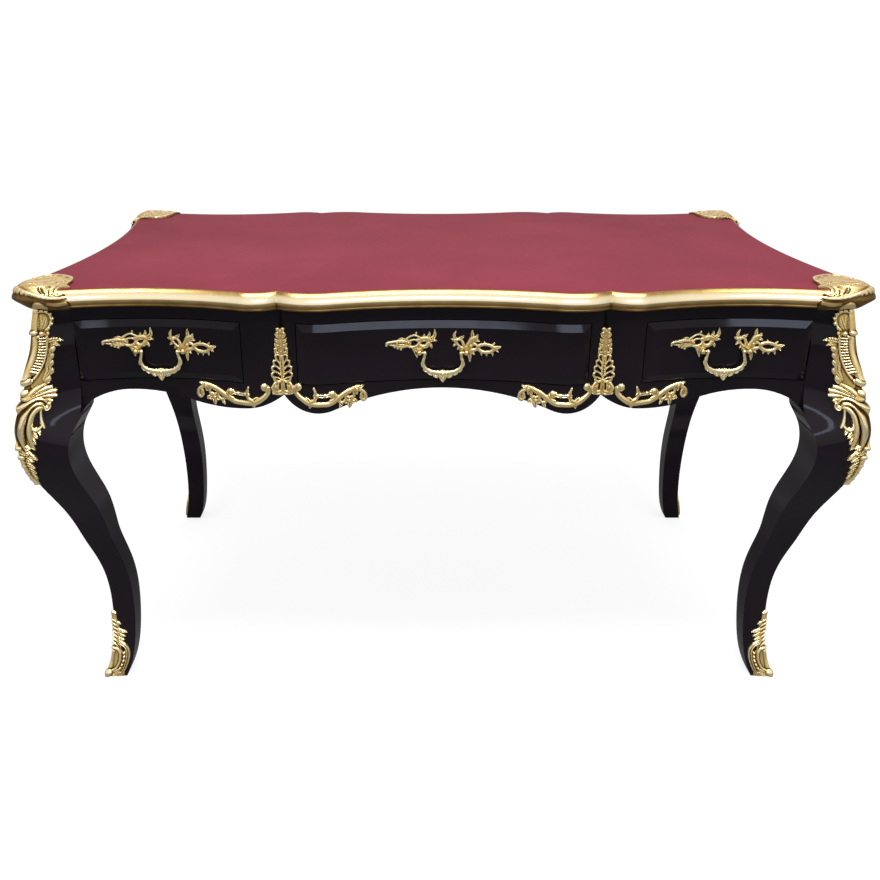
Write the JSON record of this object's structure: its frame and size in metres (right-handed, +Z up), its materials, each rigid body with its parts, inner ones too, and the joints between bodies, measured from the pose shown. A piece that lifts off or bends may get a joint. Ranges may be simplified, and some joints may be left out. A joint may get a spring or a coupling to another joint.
{
  "type": "writing desk",
  "caption": "Flat-topped writing desk with a shaped leather top, gilt edge moulding, a serpentine frieze with drawers and bail handles, and cabriole legs with gilt mounts.",
  "frame": {"origin": "on the floor, under the middle of the top", "axes": "+X to the sitter's right along the desk, -Y out of the drawer front towards the sitter, +Z up"},
  "size_m": [1.4542, 0.8662, 0.79],
  "materials": {
    "black_lacquer": "black lacquer, polished to a gloss",
    "red_leather": "plain dyed hide, satin",
    "gilt_bronze": "cast and gilded, bright on the high places",
    "plain_wood": "planed and waxed, no lacquer"
  },
  "bodies": {
    "carcase": {"back_panel": "black_lacquer", "corner_blocks": "plain_wood", "corner_mount_back_left": "gilt_bronze", "corner_mount_back_right": "gilt_bronze", "corner_mount_front_left": "gilt_bronze", "corner_mount_front_right": "gilt_bronze", "drawer_divider_left": "black_lacquer", "drawer_divider_right": "black_lacquer", "drawer_runners": "plain_wood", "edge_moulding_back": "gilt_bronze", "edge_moulding_front": "gilt_bronze", "edge_moulding_left": "gilt_bronze", "edge_moulding_right": "gilt_bronze", "foot_mount_back_left": "gilt_bronze", "foot_mount_back_right": "gilt_bronze", "foot_mount_front_left": "gilt_bronze", "foot_mount_front_right": "gilt_bronze", "front_apron": "black_lacquer", "front_top_rail": "black_lacquer", "knee_mount_back_left": "gilt_bronze", "knee_mount_back_right": "gilt_bronze", "knee_mount_front_left": "gilt_bronze", "knee_mount_front_right": "gilt_bronze", "leather_inlay": "red_leather", "leg_back_left": "black_lacquer", "leg_back_right": "black_lacquer", "leg_front_left": "black_lacquer", "leg_front_right": "black_lacquer", "partition_left": "plain_wood", "partition_right": "plain_wood", "pilaster_mount_left": "gilt_bronze", "pilaster_mount_right": "gilt_bronze", "scroll_mount_inner_left": "gilt_bronze", "scroll_mount_inner_right": "gilt_bronze", "scroll_mount_outer_left": "gilt_bronze", "scroll_mount_outer_right": "gilt_bronze", "side_panel_left": "black_lacquer", "side_panel_right": "black_lacquer", "top_panel": "black_lacquer"},
    "drawer_left": {"drawer_back_left": "plain_wood", "drawer_bottom_left": "plain_wood", "drawer_front_left": "black_lacquer", "drawer_sides_left": "plain_wood", "handle_plates_left": "gilt_bronze", "handle_posts_left": "gilt_bronze"},
    "bail_left": {"bail_left": "gilt_bronze"},
    "drawer_centre": {"drawer_back_centre": "plain_wood", "drawer_bottom_centre": "plain_wood", "drawer_front_centre": "black_lacquer", "drawer_sides_centre": "plain_wood", "handle_plates_centre": "gilt_bronze", "handle_posts_centre": "gilt_bronze"},
    "bail_centre": {"bail_centre": "gilt_bronze"},
    "drawer_right": {"drawer_back_right": "plain_wood", "drawer_bottom_right": "plain_wood", "drawer_front_right": "black_lacquer", "drawer_sides_right": "plain_wood", "handle_plates_right": "gilt_bronze", "handle_posts_right": "gilt_bronze"},
    "bail_right": {"bail_right": "gilt_bronze"}
  },
  "joints": [
    {"name": "drawer_slide_left", "type": "slide", "parent": "carcase", "child": "drawer_left", "axis": [0, -1, 0], "range_m": [0, 0.3]},
    {"name": "drawer_slide_centre", "type": "slide", "parent": "carcase", "child": "drawer_centre", "axis": [0, -1, 0], "range_m": [0, 0.3]},
    {"name": "drawer_slide_right", "type": "slide", "parent": "carcase", "child": "drawer_right", "axis": [0, -1, 0], "range_m": [0, 0.3]},
    {"name": "bail_swing_left", "type": "hinge", "parent": "drawer_left", "child": "bail_left", "pos_m": [-0.48175, -0.374, 0.673], "axis": [-1, 0, 0], "range_deg": [0, 80]},
    {"name": "bail_swing_centre", "type": "hinge", "parent": "drawer_centre", "child": "bail_centre", "pos_m": [0, -0.382, 0.673], "axis": [-1, 0, 0], "range_deg": [0, 80]},
    {"name": "bail_swing_right", "type": "hinge", "parent": "drawer_right", "child": "bail_right", "pos_m": [0.48175, -0.374, 0.673], "axis": [-1, 0, 0], "range_deg": [0, 80]}
  ]
}
